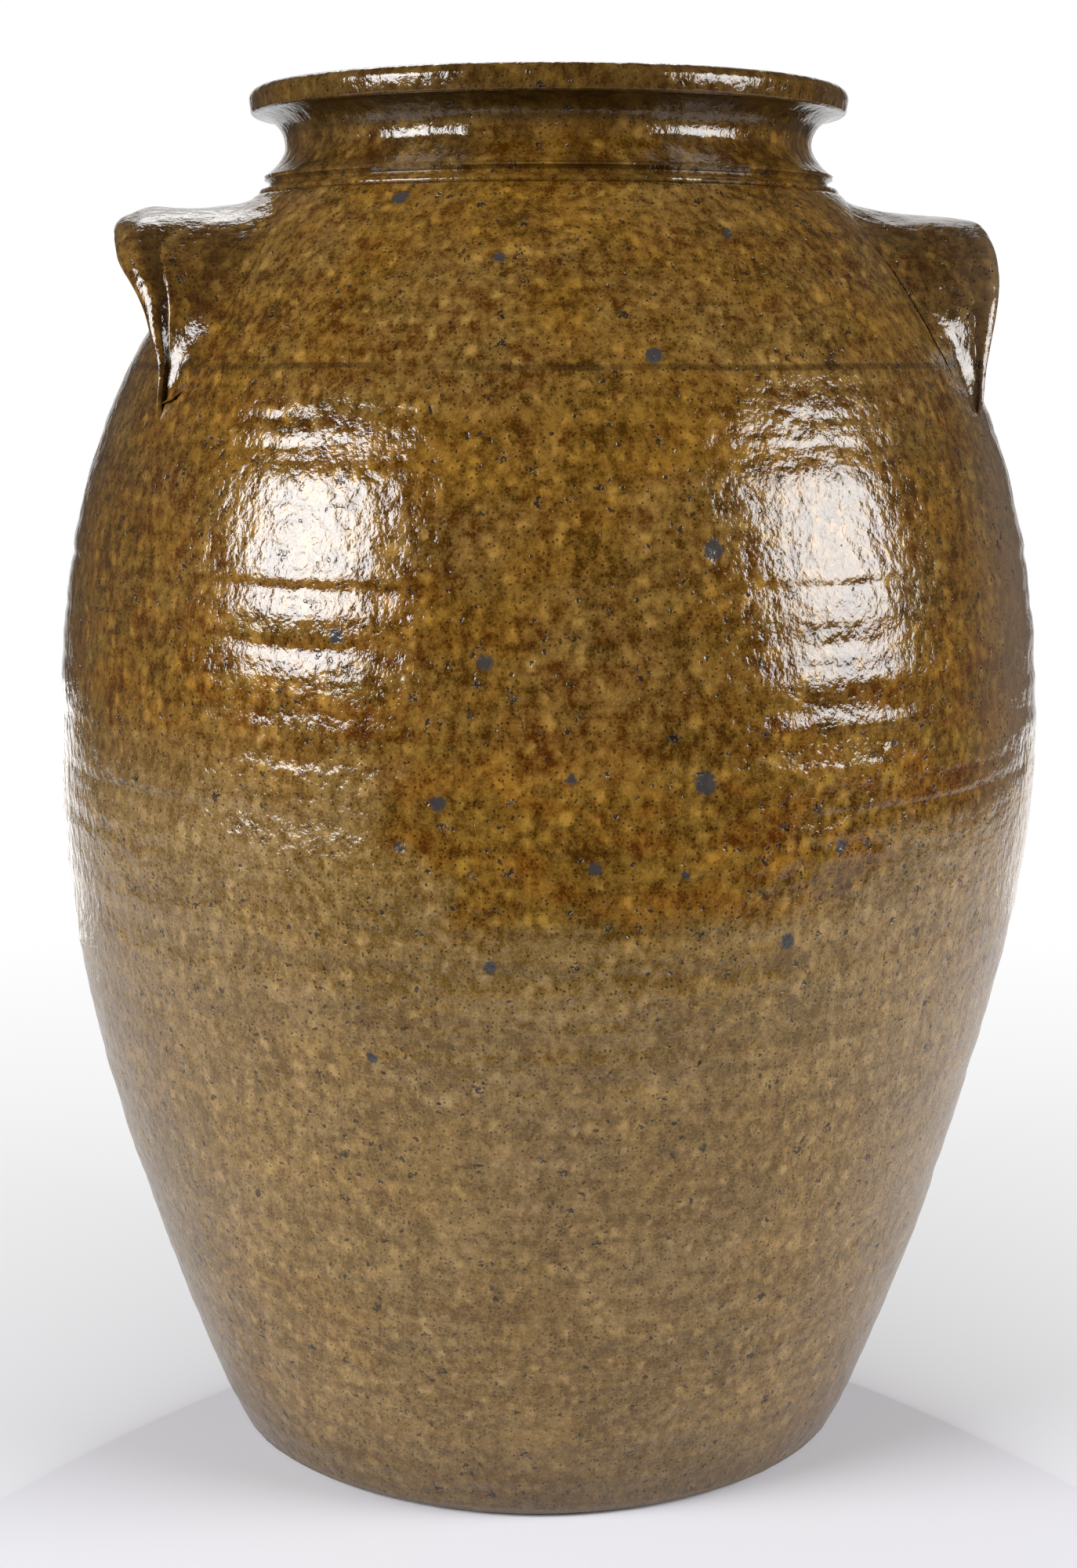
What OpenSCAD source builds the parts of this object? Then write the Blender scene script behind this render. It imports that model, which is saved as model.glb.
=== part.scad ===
// Storage jar of glazed stoneware with two crescent lugs on its shoulder.
// It is built as a potter builds a large jar: a floor pad, two thrown wall sections joined
// at the belly, a collar, a lip, and two lugs, each luted on with a coil of soft clay.
// Millimetres. The jar stands on z = 0, its axis is Z, and the lugs lie on -X and +X.

/* [Body] */
// Height of the whole jar
jar_h = 420; // [405:1:435]
// Radius of the foot on the ground
foot_r = 99.5; // [94:0.5:106]
// Radius of the jar at its widest place
belly_r = 155; // [148:0.5:162]
// Height of the widest place
belly_h = 211; // [198:1:226]
// Radius of the shoulder where the collar sits
shoulder_r = 91.5; // [88:0.5:95]
// Slope of the shoulder where the collar sits, in degrees below level
shoulder_slope = 42; // [36:1:48]
// Thickness of the wall, square to its surface
wall_t = 9; // [7:0.5:11]

/* [Body curve] */
// Length of the curve's handle at the foot
foot_pull = 5.5; // [3:0.5:12]
// Direction of the curve's handle at the foot, in degrees above level
foot_flare = 17; // [5:1:40]
// Length of the curve's handle below the belly
belly_pull_low = 76; // [65:1:86]
// Length of the curve's handle above the belly
belly_pull_high = 48; // [40:1:56]
// Length of the curve's handle at the shoulder
shoulder_pull = 83; // [72:1:92]

/* [Floor] */
// Thickness of the floor pad
floor_t = 13; // [10:0.5:16]
// Height of the pad's outside edge, under the wall
pad_edge_h = 6; // [4:0.5:8]
// Bevel around the bottom of the foot
foot_bevel = 1.5; // [0.5:0.25:2.5]

/* [Joins] */
// Height of the join between the two thrown wall sections
belly_join_h = 220; // [190:1:250]
// Width of the tongue on the upper section
belly_tongue_w = 5; // [3:0.5:6]
// Depth of the tongue on the upper section
belly_tongue_d = 4; // [2:0.5:6]
// Width of the tongue under the collar and under the lip
collar_tongue_w = 4; // [2:0.5:5]
// Depth of the tongue under the collar and under the lip
collar_tongue_d = 2.5; // [1.5:0.5:3.5]

/* [Shoulder line] */
// Height of the line cut around the shoulder
line_h = 339; // [320:1:350]
// Width of the line
line_w = 1.6; // [1:0.2:3]
// Depth of the line
line_d = 0.6; // [0.4:0.1:1.2]

/* [Collar] */
// Height of the collar, from the shoulder to the underside of the lip
collar_h = 17.3; // [15:0.1:21]
// Radius outside the collar at its narrowest
neck_r = 84; // [81:0.5:87]
// Radius inside the collar at its narrowest
throat_r = 75.5; // [72:0.5:78]
// Height of the narrowest place above the shoulder
neck_rise = 13.5; // [12:0.5:14.5]
// How far the lower ridge stands in from the edge of the shoulder
ridge_inset = 0.9; // [0.4:0.1:1.6]
// Height of the lower ridge
ridge_h = 1.9; // [1.4:0.1:2.6]
// Depth of the hollow between the two ridges
ridge_gap_d = 2; // [1:0.1:3]
// Height of the upper ridge above the shoulder
bead_rise = 5; // [4.4:0.1:6]
// How far the upper ridge stands out from the narrowest place
bead_proud = 5; // [4:0.1:6]
// Softening of the ridges' edges
ridge_soft = 0.4; // [0.2:0.1:0.6]

/* [Lip] */
// Height of the lip, from its join to the top
lip_h = 14.5; // [13:0.1:17]
// Radius outside the lip
lip_r = 93; // [90:0.5:96]
// Height of the lip's outside face
lip_face_h = 8; // [7:0.25:9]
// How far the lower edge of the face stands in from the lip's full radius
lip_face_lean = 0.3; // [0:0.1:0.8]
// Rounding at the lower edge of the face
lip_low_round = 1.3; // [0.8:0.1:1.8]
// Rounding at the top of the face
lip_top_round = 3.2; // [2:0.1:4]
// Rounding at the inside of the mouth
lip_in_round = 6; // [4:0.5:7]
// Fall of the top surface towards the mouth
lip_fall = 1; // [0:0.25:2]

/* [Lugs] */
// Radius of each lug's arch at its free edge
lug_arch_r = 66; // [58:1:70]
// Drop from the edge of the shoulder to the top of a lug
lug_drop = 4.7; // [3:0.1:10]
// Lean of a lug's free edge, in degrees from upright
lug_lean = 12; // [8:1:16]
// How deep the widest part of each arch lies in the wall
lug_sink = 3.8; // [2:0.1:8]
// Thickness of a lug at its free edge
lug_edge_t = 7; // [5:0.5:9]
// Thickness of a lug at its root
lug_root_t = 12; // [9:0.5:14]
// Distance from the free edge to the full thickness
lug_taper = 34; // [26:1:40]

/* [Luting coils] */
// Radius of the coil pressed into the corner above each lug
coil_r = 9; // [7:0.5:11]
// How deep the coil's centre is pressed into the corner
coil_press = 4.5; // [3:0.5:6]
// Reach of the coil down each side of the arch, in degrees from the top
coil_reach = 72; // [60:1:74]
// Clearance between a coil and the lug it backs
coil_gap = 0.1; // [0.05:0.05:0.3]

/* [Hidden] */
$fn = 192;

// Colours of the fired clay and of the two glazed zones
raw_clay = [0.60, 0.47, 0.33];
thin_glaze = [0.47, 0.37, 0.22];
thick_glaze = [0.38, 0.26, 0.10];
rim_glaze = [0.31, 0.21, 0.11];

// Straight steps in each half of the wall's curve, and in a small rounding
wall_steps = 22;
round_steps = 5;

// Seats of the collar and of the lip
collar_seat_z = jar_h - lip_h - collar_h;
lip_seat_z = jar_h - lip_h;

// A cubic curve from a to d with handle points b and c, as a list of points
function curve_point(a, b, c, d, t) =
    pow(1 - t, 3) * a + 3 * pow(1 - t, 2) * t * b + 3 * (1 - t) * t * t * c + t * t * t * d;
function curve_slope(a, b, c, d, t) =
    pow(1 - t, 2) * (b - a) + 2 * (1 - t) * t * (c - b) + t * t * (d - c);

// End points and handle points of the wall's outline, as [radius, height]
foot_p = [foot_r, 0];
foot_q = foot_p + foot_pull * [cos(foot_flare), sin(foot_flare)];
belly_p = [belly_r, belly_h];
shoulder_p = [shoulder_r, collar_seat_z];
shoulder_q = shoulder_p + shoulder_pull * [cos(shoulder_slope), -sin(shoulder_slope)];
low_curve = [foot_p, foot_q, belly_p - [0, belly_pull_low], belly_p];
high_curve = [belly_p, belly_p + [0, belly_pull_high], shoulder_q, shoulder_p];

// Point on the wall, moved in from its surface by a depth
function wall_point(k, t, depth) =
    let (p = curve_point(k[0], k[1], k[2], k[3], t),
        s = curve_slope(k[0], k[1], k[2], k[3], t),
        n = [-s[1], s[0]] / norm(s))
    p + depth * n;
function wall_outline(depth) = concat(
    [for (i = [0 : wall_steps - 1]) wall_point(low_curve, i / wall_steps, depth)],
    [for (i = [0 : wall_steps]) wall_point(high_curve, i / wall_steps, depth)]);

// The inside runs on along the shoulder's slope to the level of the collar's seat
seat_in_r = shoulder_r - wall_t / sin(shoulder_slope);
outer_points = wall_outline(0);
inner_points = concat(wall_outline(wall_t), [[seat_in_r, collar_seat_z]]);

// Radius of an outline at a height, and the stretch of the outline between two heights,
// which leaves out points that would lie closer to its ends than the least step
least_step = wall_t / 45;
function radius_at(points, z) = lookup(z, [for (p = points) [p[1], p[0]]]);
function stretch(points, z0, z1) = concat(
    [[radius_at(points, z0), z0]],
    [for (p = points) if (p[1] > z0 + least_step && p[1] < z1 - least_step) p],
    [[radius_at(points, z1), z1]]);
function reversed(points) = [for (i = [len(points) - 1 : -1 : 0]) points[i]];
function arc(centre, r, a0, a1, n = round_steps) =
    [for (i = [0 : n]) let (a = a0 + (a1 - a0) * i / n) centre + r * [cos(a), sin(a)]];

// Points of a tongue that hangs under a ring, or of its groove, from outside to inside
function tongue(r_out, r_in, z, w, d) =
    let (mid = (r_out + r_in) / 2)
    [[mid + w / 2, z], [mid, z - d], [mid - w / 2, z]];

// Everything that lies inside the jar's outer surface, up to the lip
module jar_core() {
    rotate_extrude()
        polygon(concat([[0, 0]], outer_points,
            [[neck_r, lip_seat_z], [0, lip_seat_z]]));
}

module floor_pad() {
    edge = stretch(outer_points, foot_bevel, pad_edge_h);
    color(raw_clay)
    rotate_extrude()
        polygon(concat([[0, 0], [foot_r - foot_bevel, 0]], edge,
            [[radius_at(inner_points, floor_t), floor_t], [0, floor_t]]));
}

module lower_wall() {
    r_out = radius_at(outer_points, belly_join_h);
    r_in = radius_at(inner_points, belly_join_h);
    color(thin_glaze)
    rotate_extrude()
        polygon(concat(
            stretch(outer_points, pad_edge_h, belly_join_h),
            tongue(r_out, r_in, belly_join_h, belly_tongue_w, belly_tongue_d),
            reversed(stretch(inner_points, floor_t, belly_join_h))));
}

module upper_wall() {
    r_out = radius_at(outer_points, belly_join_h);
    r_in = radius_at(inner_points, belly_join_h);
    line_r = radius_at(outer_points, line_h);
    color(thick_glaze)
    rotate_extrude()
        polygon(concat(
            stretch(outer_points, belly_join_h, line_h - line_w / 2),
            [[line_r - line_d, line_h]],
            stretch(outer_points, line_h + line_w / 2, collar_seat_z),
            tongue(shoulder_r, seat_in_r, collar_seat_z, collar_tongue_w, collar_tongue_d),
            reversed(stretch(inner_points, belly_join_h, collar_seat_z)),
            reversed(tongue(r_out, r_in, belly_join_h, belly_tongue_w, belly_tongue_d))));
}

module neck_collar() {
    z = collar_seat_z;
    ridge_r = shoulder_r - ridge_inset;
    bead_r = neck_r + bead_proud;
    flare_r = bead_proud - 2 * ridge_soft;
    flare_z = z + bead_rise + 2 * ridge_soft;
    color(thick_glaze)
    rotate_extrude()
        polygon(concat(
            [[ridge_r - 2 * ridge_soft, z], [ridge_r, z + ridge_h / 2],
                [ridge_r - ridge_soft, z + ridge_h],
                [bead_r - ridge_gap_d, z + (ridge_h + bead_rise) / 2],
                [bead_r - ridge_soft, z + bead_rise - ridge_soft], [bead_r, z + bead_rise]],
            [for (i = [0 : round_steps])
                let (t = i / round_steps)
                [neck_r + flare_r * pow(1 - t, 2), flare_z + t * (z + neck_rise - flare_z)]],
            [[neck_r, lip_seat_z]],
            tongue(neck_r, throat_r, lip_seat_z, collar_tongue_w, collar_tongue_d),
            [[throat_r, lip_seat_z], [throat_r, z + neck_rise], [seat_in_r, z]],
            reversed(tongue(shoulder_r, seat_in_r, z, collar_tongue_w, collar_tongue_d))));
}

module lip_roll() {
    face_z = jar_h - lip_face_h;
    tip = [lip_r - lip_face_lean - lip_low_round, face_z + lip_low_round];
    top = [lip_r - lip_top_round, jar_h - lip_top_round];
    rim_in = [throat_r + lip_in_round, jar_h - lip_fall - lip_in_round];
    cove_r = tip[0] - neck_r;
    cove_h = face_z - lip_seat_z;
    color(rim_glaze)
    rotate_extrude()
        polygon(concat(
            [for (i = [0 : round_steps - 1])
                let (a = 90 * i / round_steps)
                [neck_r + cove_r * (1 - cos(a)), lip_seat_z + cove_h * sin(a)]],
            arc(tip, lip_low_round, -90, 0),
            arc(top, lip_top_round, 0, 90),
            arc(rim_in, lip_in_round, 90, 180),
            [[throat_r, lip_seat_z]],
            reversed(tongue(neck_r, throat_r, lip_seat_z, collar_tongue_w, collar_tongue_d))));
}

// Centre of a lug's arch at its free edge, on the side of +X
lug_top_z = collar_seat_z - lug_drop;
arch_z = lug_top_z - lug_arch_r * cos(lug_lean);
arch_x = sqrt(pow(radius_at(outer_points, arch_z), 2) - pow(lug_arch_r, 2)) - lug_sink;

// A lug is the top of a leaning ring that runs into the wall. Along the ring's axis, out is
// the way from the free edge, and the upper surface slopes so that the lug's top is level
ring_len = 1.05 * lug_arch_r;
lug_slant = tan(lug_lean);
lug_thicken = (lug_root_t - lug_edge_t) / lug_taper;
function ring_outer(out) = lug_arch_r + out * lug_slant;
function ring_inner(out) = ring_outer(out) - lug_edge_t + max(out, -lug_taper) * lug_thicken;
lug_nose = lug_edge_t / 2;
nose_centre = [ring_outer(-lug_nose) - lug_nose, -lug_nose];

module on_ring_axis() {
    translate([arch_x, 0, arch_z]) rotate([0, 90 + lug_lean, 0]) children();
}

module lug_ring() {
    on_ring_axis()
        rotate_extrude()
        polygon(concat(
            [[ring_outer(-ring_len), -ring_len]],
            arc(nose_centre, lug_nose, 0, 180, 2 * round_steps),
            [[ring_inner(-lug_taper), -lug_taper], [ring_inner(-ring_len), -ring_len]]));
}

// All that lies under the ring's upper surface, past the free edge by a coil's radius
module lug_block() {
    on_ring_axis()
        translate([0, 0, -ring_len])
        cylinder(h = ring_len + coil_r,
            r1 = ring_outer(-ring_len) + coil_gap, r2 = ring_outer(coil_r) + coil_gap);
}

module lug() {
    difference() {
        lug_ring();
        jar_core();
    }
}

// Point on the upper surface of a lug's ring, from the free edge and from the arch's top
function ring_point(out, turn) =
    let (r = ring_outer(out), up = r * cos(turn))
    [arch_x + out * cos(lug_lean) + up * sin(lug_lean),
        r * sin(turn),
        arch_z - out * sin(lug_lean) + up * cos(lug_lean)];

// Where that surface meets the wall, found by halving the stretch that holds the place
function root_out(turn, low = -0.9 * ring_len, high = coil_r / 2, n = 18) =
    let (mid = (low + high) / 2, p = ring_point(mid, turn))
    n == 0 ? mid
    : norm([p[0], p[1]]) > radius_at(outer_points, p[2])
        ? root_out(turn, low, mid, n - 1)
        : root_out(turn, mid, high, n - 1);

// The coil follows the corner between the wall and the lug's upper surface
coil_rings = 25;
coil_sides = 12;
function coil_centre(turn) =
    let (p = ring_point(root_out(turn), turn))
    p - coil_press * [sin(lug_lean), 0, 0] - coil_press * [0, sin(turn), cos(turn)];
function coil_turn(i) = coil_reach * (2 * i / (coil_rings - 1) - 1);
function unit(v) = v / norm(v);

module luting_coil() {
    centres = [for (i = [0 : coil_rings - 1]) coil_centre(coil_turn(i))];
    points = [for (i = [0 : coil_rings - 1])
        let (a = centres[max(i - 1, 0)], b = centres[min(i + 1, coil_rings - 1)],
            along = unit(b - a),
            side = unit(cross(along, [0, sin(coil_turn(i)), cos(coil_turn(i))])),
            up = cross(side, along))
        for (j = [0 : coil_sides - 1])
            let (w = 360 * j / coil_sides)
            centres[i] + coil_r * (cos(w) * side + sin(w) * up)];
    sides = [for (i = [0 : coil_rings - 2]) for (j = [0 : coil_sides - 1])
        let (a = i * coil_sides + j, b = i * coil_sides + (j + 1) % coil_sides)
        [a, b, b + coil_sides, a + coil_sides]];
    start_cap = [[for (j = [coil_sides - 1 : -1 : 0]) j]];
    end_cap = [[for (j = [0 : coil_sides - 1]) (coil_rings - 1) * coil_sides + j]];
    difference() {
        polyhedron(points, concat(sides, start_cap, end_cap));
        jar_core();
        lug_block();
    }
}

module left_lug() {
    color(thick_glaze) mirror([1, 0, 0]) lug();
}

module right_lug() {
    color(thick_glaze) lug();
}

module left_luting_coil() {
    color(rim_glaze) mirror([1, 0, 0]) luting_coil();
}

module right_luting_coil() {
    color(rim_glaze) luting_coil();
}

floor_pad();
lower_wall();
upper_wall();
neck_collar();
lip_roll();
left_lug();
right_lug();
left_luting_coil();
right_luting_coil();
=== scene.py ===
import math

import bmesh
import bpy
import numpy as np
from mathutils import Matrix, Vector
from mathutils.bvhtree import BVHTree
from mathutils.noise import noise_vector


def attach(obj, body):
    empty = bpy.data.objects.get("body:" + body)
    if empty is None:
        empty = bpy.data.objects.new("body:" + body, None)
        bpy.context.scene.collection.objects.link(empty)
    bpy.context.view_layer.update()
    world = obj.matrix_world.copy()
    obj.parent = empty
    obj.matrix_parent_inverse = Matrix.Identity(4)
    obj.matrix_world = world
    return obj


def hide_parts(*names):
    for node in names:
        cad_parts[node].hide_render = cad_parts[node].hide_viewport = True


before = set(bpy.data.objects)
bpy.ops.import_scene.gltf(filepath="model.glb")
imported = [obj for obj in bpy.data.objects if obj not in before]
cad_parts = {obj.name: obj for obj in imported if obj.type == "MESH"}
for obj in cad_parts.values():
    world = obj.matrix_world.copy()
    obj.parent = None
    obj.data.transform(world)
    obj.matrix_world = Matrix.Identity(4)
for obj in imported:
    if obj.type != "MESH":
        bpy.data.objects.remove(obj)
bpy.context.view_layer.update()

# Shader and geometry nodes are written as expressions on a Wire, which wraps a socket.
class Wire:
    def __init__(self, tree, socket=None):
        self.tree = tree
        self.socket = socket

    def node(self, kind, inputs=None, out=0, stops=None, **settings):
        made = self.tree.nodes.new(kind)
        for key, value in settings.items():
            setattr(made, key, value)
        for place, colour in stops or []:
            stop = made.color_ramp.elements.new(place)
            stop.color = colour
        for key, value in (inputs or {}).items():
            if isinstance(value, Wire):
                self.tree.links.new(value.socket, made.inputs[key])
            else:
                made.inputs[key].default_value = value
        return Wire(self.tree, made.outputs[out] if made.outputs else None)

    def other(self, out):
        return Wire(self.tree, self.socket.node.outputs[out])

    def math(self, operation, *values):
        inputs = dict(enumerate(values))
        return self.node("ShaderNodeMath", inputs, operation=operation)

    def mix(self, first, second):
        inputs = {0: self, 6: first, 7: second}
        return self.node("ShaderNodeMix", inputs, out=2, data_type="RGBA")

    def ramp(self, low, high, start=0.0, end=1.0, kind="SMOOTHSTEP"):
        inputs = {"Value": self, 1: low, 2: high, 3: start, 4: end}
        return self.node("ShaderNodeMapRange", inputs, interpolation_type=kind)

    def noise(self, place, scale, detail=2.0, roughness=0.5, out=0):
        inputs = {"Vector": place, "Scale": scale, "Detail": detail, "Roughness": roughness}
        return self.node("ShaderNodeTexNoise", inputs, out=out)

    def voronoi(self, place, scale):
        inputs = {"Vector": place, "Scale": scale}
        return self.node("ShaderNodeTexVoronoi", inputs, out="Distance")

    def dot(self, way):
        inputs = {0: self, 1: tuple(way)}
        return self.node("ShaderNodeVectorMath", inputs, operation="DOT_PRODUCT", out="Value")

    def distance(self, spot):
        inputs = {0: self, 1: tuple(spot)}
        return self.node("ShaderNodeVectorMath", inputs, operation="DISTANCE", out="Value")

    def length(self):
        return self.node("ShaderNodeVectorMath", {0: self}, operation="LENGTH", out="Value")

    def plus(self, other):
        return self.node("ShaderNodeVectorMath", {0: self, 1: other}, operation="ADD")

    def shaded(self, amount):
        return self.node("ShaderNodeVectorMath", {0: self, "Scale": amount}, operation="SCALE")

    def scaled(self, x, y, z):
        inputs = {0: self, 1: (x, y, z)}
        return self.node("ShaderNodeVectorMath", inputs, operation="MULTIPLY")

    def __add__(self, other):
        return self.math("ADD", self, other)

    def __radd__(self, other):
        return self.math("ADD", other, self)

    def __sub__(self, other):
        return self.math("SUBTRACT", self, other)

    def __rsub__(self, other):
        return self.math("SUBTRACT", other, self)

    def __mul__(self, other):
        return self.math("MULTIPLY", self, other)

    def __rmul__(self, other):
        return self.math("MULTIPLY", other, self)

    def __truediv__(self, other):
        return self.math("DIVIDE", self, other)

    def __rtruediv__(self, other):
        return self.math("DIVIDE", other, self)

    def __pow__(self, other):
        return self.math("POWER", self, other)


# The studio. The jar stands on a pale sweep between two large softboxes, and the camera looks
# down on its belly from just below the height of its collar. The jar is turned a little, so
# that its left lug comes forward.
JAR_TURN = math.radians(7.25)
CAMERA_DISTANCE = 0.790
CAMERA_HEIGHT = 0.3472
CAMERA_PITCH = math.radians(10.26)
CAMERA_SIDE = -0.0031
SENSOR_SIZE = 36.0
FOCAL_PIXELS = 3176.6
PHOTO_HEIGHT = 2000
to_viewer = Vector((-math.sin(JAR_TURN), -math.cos(JAR_TURN), 0))
to_right = Vector((math.cos(JAR_TURN), -math.sin(JAR_TURN), 0))
up = Vector((0, 0, 1))

camera_data = bpy.data.cameras.new("studio_camera")
camera_data.sensor_fit = "VERTICAL"
camera_data.sensor_height = SENSOR_SIZE
camera_data.lens = SENSOR_SIZE * FOCAL_PIXELS / PHOTO_HEIGHT
camera = bpy.data.objects.new("studio_camera", camera_data)
look = (-to_viewer * math.cos(CAMERA_PITCH) - up * math.sin(CAMERA_PITCH)).normalized()
camera.location = to_viewer * CAMERA_DISTANCE + to_right * CAMERA_SIDE + up * CAMERA_HEIGHT
camera.rotation_euler = look.to_track_quat("-Z", "Y").to_euler()
bpy.context.scene.collection.objects.link(camera)
bpy.context.scene.camera = camera

SOFTBOXES = {
    "left_softbox": {"turn": -56, "away": 1.25, "height": 0.66, "width": 0.72, "tall": 0.62, "power": 26.5},
    "right_softbox": {"turn": 66, "away": 1.25, "height": 0.62, "width": 0.70, "tall": 0.72, "power": 22.5},
}
GLEAMS = {
    "back_gleam": {"turn": -172, "away": 1.10, "height": 1.32, "aim": 0.38, "wide": 0.80, "tall": 0.60, "power": 4.5},
    "left_gleam": {"turn": -143, "away": 0.62, "height": 0.09, "aim": 0.20, "wide": 0.20, "tall": 0.15, "power": 0.17},
    "right_gleam": {"turn": 141, "away": 0.62, "height": 0.08, "aim": 0.18, "wide": 0.16, "tall": 0.13, "power": 0.06},
}
jar_middle = up * 0.24
for name, box in SOFTBOXES.items():
    light = bpy.data.lights.new(name, "AREA")
    light.shape = "RECTANGLE"
    light.size = box["width"]
    light.size_y = box["tall"]
    light.energy = box["power"]
    light.use_nodes = True
    light.node_tree.nodes.clear()
    wire = Wire(light.node_tree)
    across = wire.node("ShaderNodeNewGeometry", out="Parametric")
    hot = across.distance((0.5, 0.5, 0)).ramp(0.05, 0.80, 1.2, 0.55)
    glow = wire.node("ShaderNodeEmission", {"Color": hot, "Strength": 1.0})
    wire.node("ShaderNodeOutputLight", {"Surface": glow})
    turn = math.radians(box["turn"])
    lamp = bpy.data.objects.new(name, light)
    lamp.location = (to_viewer * math.cos(turn) + to_right * math.sin(turn)) * box["away"]
    lamp.location += up * box["height"]
    lamp.rotation_euler = (jar_middle - lamp.location).to_track_quat("-Z", "Y").to_euler()
    bpy.context.scene.collection.objects.link(lamp)

# Three panels that only the glaze mirrors: one above and behind, and one low at each side
for name, panel in GLEAMS.items():
    light = bpy.data.lights.new(name, "AREA")
    light.shape = "RECTANGLE"
    light.size = panel["wide"]
    light.size_y = panel["tall"]
    light.energy = panel["power"]
    turn = math.radians(panel["turn"])
    lamp = bpy.data.objects.new(name, light)
    lamp.location = (to_viewer * math.cos(turn) + to_right * math.sin(turn)) * panel["away"]
    lamp.location += up * panel["height"]
    lamp.rotation_euler = (up * panel["aim"] - lamp.location).to_track_quat("-Z", "Y").to_euler()
    lamp.visible_diffuse = False
    lamp.visible_camera = False
    bpy.context.scene.collection.objects.link(lamp)

# The sweep is a sheet of pale paper that runs under the jar and curves up behind it. Far from
# the jar it shows as white, and near it keeps the soft shadow.
SWEEP_WIDTH = 1.75
SWEEP_FRONT = 0.42
SWEEP_BACK = 1.5
SWEEP_BEND = 1.2
SWEEP_TOP = 3.6
PAPER = (0.70, 0.70, 0.745, 1)

sweep_line = [(-SWEEP_FRONT, 0.0), (SWEEP_BACK, 0.0)]
for step in range(1, 25):
    turn = math.radians(90 * step / 24)
    sweep_line.append((SWEEP_BACK + SWEEP_BEND * math.sin(turn), SWEEP_BEND * (1 - math.cos(turn))))
sweep_line.append((SWEEP_BACK + SWEEP_BEND, SWEEP_TOP))
sweep_form = bmesh.new()
rows = []
for away, height in sweep_line:
    middle = to_viewer * -away + up * height
    rows.append([sweep_form.verts.new(middle + to_right * side) for side in (-SWEEP_WIDTH / 2, SWEEP_WIDTH / 2)])
for near, far in zip(rows, rows[1:]):
    sweep_form.faces.new((near[0], near[1], far[1], far[0]))
sweep_mesh = bpy.data.meshes.new("paper_sweep")
sweep_form.to_mesh(sweep_mesh)
sweep_mesh.shade_smooth()
sweep = bpy.data.objects.new("paper_sweep", sweep_mesh)
bpy.context.scene.collection.objects.link(sweep)

paper = bpy.data.materials.new("sweep_paper")
paper.use_nodes = True
paper.node_tree.nodes.clear()
wire = Wire(paper.node_tree)
place = wire.node("ShaderNodeTexCoord", out="Object")
distance = wire.node("ShaderNodeVectorMath", {0: place}, operation="LENGTH", out="Value")
seen = wire.node("ShaderNodeLightPath", out="Is Camera Ray")
seen = seen.math("MAXIMUM", seen, seen.other("Is Glossy Ray"))
seen = seen.math("MAXIMUM", seen, seen.node("ShaderNodeLightPath", out="Is Transmission Ray"))
diffuse = wire.node("ShaderNodeBsdfDiffuse", {"Color": PAPER})
white = wire.node("ShaderNodeEmission", {"Color": (1, 1, 1, 1), "Strength": 1.0})
far_off = (distance - place.dot(to_viewer)).ramp(0.10, 1.30, kind="LINEAR") ** 0.30 * seen
mixed = wire.node("ShaderNodeMixShader", {0: far_off, 1: diffuse, 2: white})
wire.node("ShaderNodeOutputMaterial", {"Surface": mixed})
sweep_mesh.materials.append(paper)

world = bpy.data.worlds.new("studio")
bpy.context.scene.world = world
world.use_nodes = True
world.node_tree.nodes.clear()
wire = Wire(world.node_tree)
seen = wire.node("ShaderNodeLightPath", out="Is Camera Ray")
air = seen.mix((0.07, 0.07, 0.07, 1), (1, 1, 1, 1))
air = wire.node("ShaderNodeBackground", {"Color": air, "Strength": 1.0})
wire.node("ShaderNodeOutputWorld", {"Surface": air})
bpy.context.scene.view_settings.view_transform = "Standard"

# The lower wall: a broad open cylinder of stoneware clay, thrown on the wheel on top of the
# floor pad and bellied out. Its rim holds the groove for the upper wall, and the whole pot was
# dipped in an ash glaze that is thin and tan here.
FOOT_R = 0.0995
BELLY_R = 0.155
BELLY_H = 0.211
SHOULDER_R = 0.0915
SHOULDER_H = 0.3882
SHOULDER_SLOPE = math.radians(42)
WALL_T = 0.009
FLOOR_T = 0.013
PAD_EDGE_H = 0.006
JOIN_H = 0.220
JOIN_TONGUE = 0.005
JOIN_TONGUE_DEPTH = 0.004
foot_flare = math.radians(17)
foot_handle = 0.0055
belly_handle_low = 0.076
belly_handle_high = 0.048
shoulder_handle = 0.083


def curve(a, b, c, d, depth, steps=160):
    t = np.linspace(0, 1, steps)[:, None]
    a, b, c, d = (np.array(p) for p in (a, b, c, d))
    points = (1 - t) ** 3 * a + 3 * (1 - t) ** 2 * t * b + 3 * (1 - t) * t * t * c + t ** 3 * d
    slope = (1 - t) ** 2 * (b - a) + 2 * (1 - t) * t * (c - b) + t * t * (d - c)
    normal = np.stack([-slope[:, 1], slope[:, 0]], 1)
    return points + depth * normal / np.linalg.norm(normal, axis=1)[:, None]


def wall_line(depth):
    foot = (FOOT_R, 0)
    belly = (BELLY_R, BELLY_H)
    shoulder = (SHOULDER_R, SHOULDER_H)
    foot_handle_end = (
        FOOT_R + foot_handle * math.cos(foot_flare), foot_handle * math.sin(foot_flare))
    shoulder_handle_end = (
        SHOULDER_R + shoulder_handle * math.cos(SHOULDER_SLOPE),
        SHOULDER_H - shoulder_handle * math.sin(SHOULDER_SLOPE))
    low = curve(foot, foot_handle_end, (BELLY_R, BELLY_H - belly_handle_low), belly, depth)
    high = curve(belly, (BELLY_R, BELLY_H + belly_handle_high), shoulder_handle_end, shoulder, depth)
    return np.vstack([low, high[1:]])


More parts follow.
